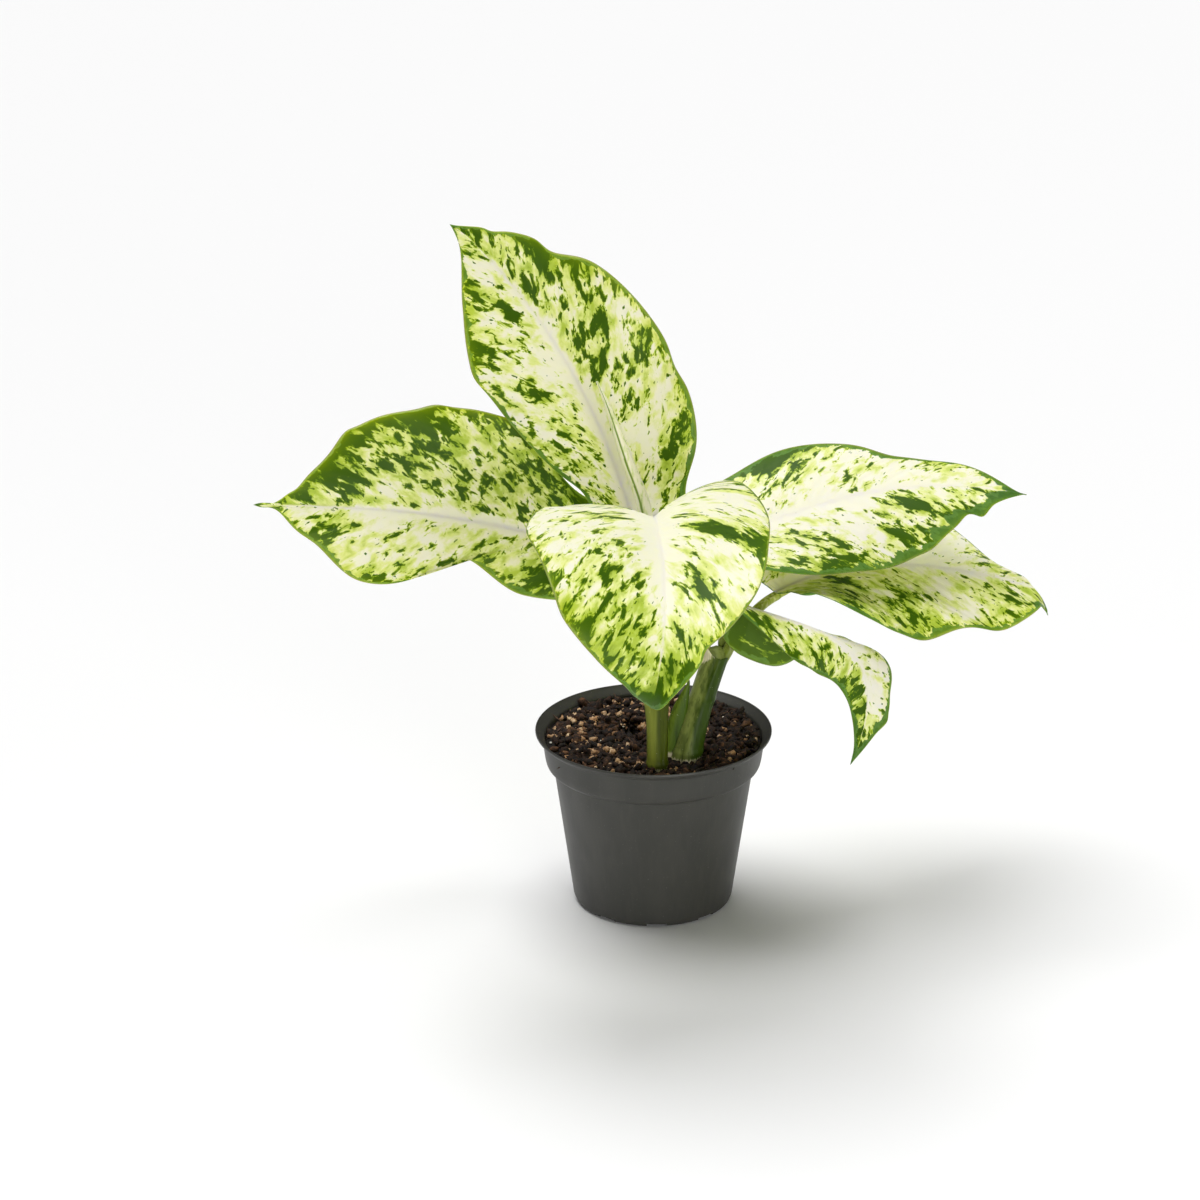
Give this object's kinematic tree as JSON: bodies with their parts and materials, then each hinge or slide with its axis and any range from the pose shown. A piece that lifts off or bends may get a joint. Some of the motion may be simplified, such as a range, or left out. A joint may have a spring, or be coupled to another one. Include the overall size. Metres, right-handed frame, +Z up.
{
  "type": "potted dieffenbachia",
  "caption": "Young dieffenbachia with cream and green variegated leaves on upright stalks, growing in soil in a plain tapered nursery pot with drainage gullies.",
  "frame": {"origin": "middle of the pot's underside, on the surface that the pot stands on", "axes": "+Z up, -Y towards the front of the plant, where the heart-shaped front leaf hangs, +X to the right seen from the front"},
  "size_m": [0.3998, 0.2647, 0.3516],
  "materials": {
    "pot_plastic": "satin dark warm-grey moulded plastic",
    "potting_soil": null,
    "stalk_green": null,
    "sheath_green": "dark green satin sheath, drying at its edges",
    "leaf_young": "pale green satin, rolled new leaf",
    "leaf_variegated": "semi-gloss cream blade blotched with yellow-green and dark green, green at the margin"
  },
  "bodies": {
    "root": {"pot": "pot_plastic", "soil": "potting_soil", "stalk_front": "stalk_green", "stalk_right": "stalk_green", "old_sheath": "sheath_green", "furled_leaf": "leaf_young", "leaf_upright": "leaf_variegated", "leaf_left": "leaf_variegated", "leaf_front": "leaf_variegated", "leaf_right_upper": "leaf_variegated", "leaf_right_lower": "leaf_variegated", "leaf_drooping": "leaf_variegated"}
  },
  "joints": []
}
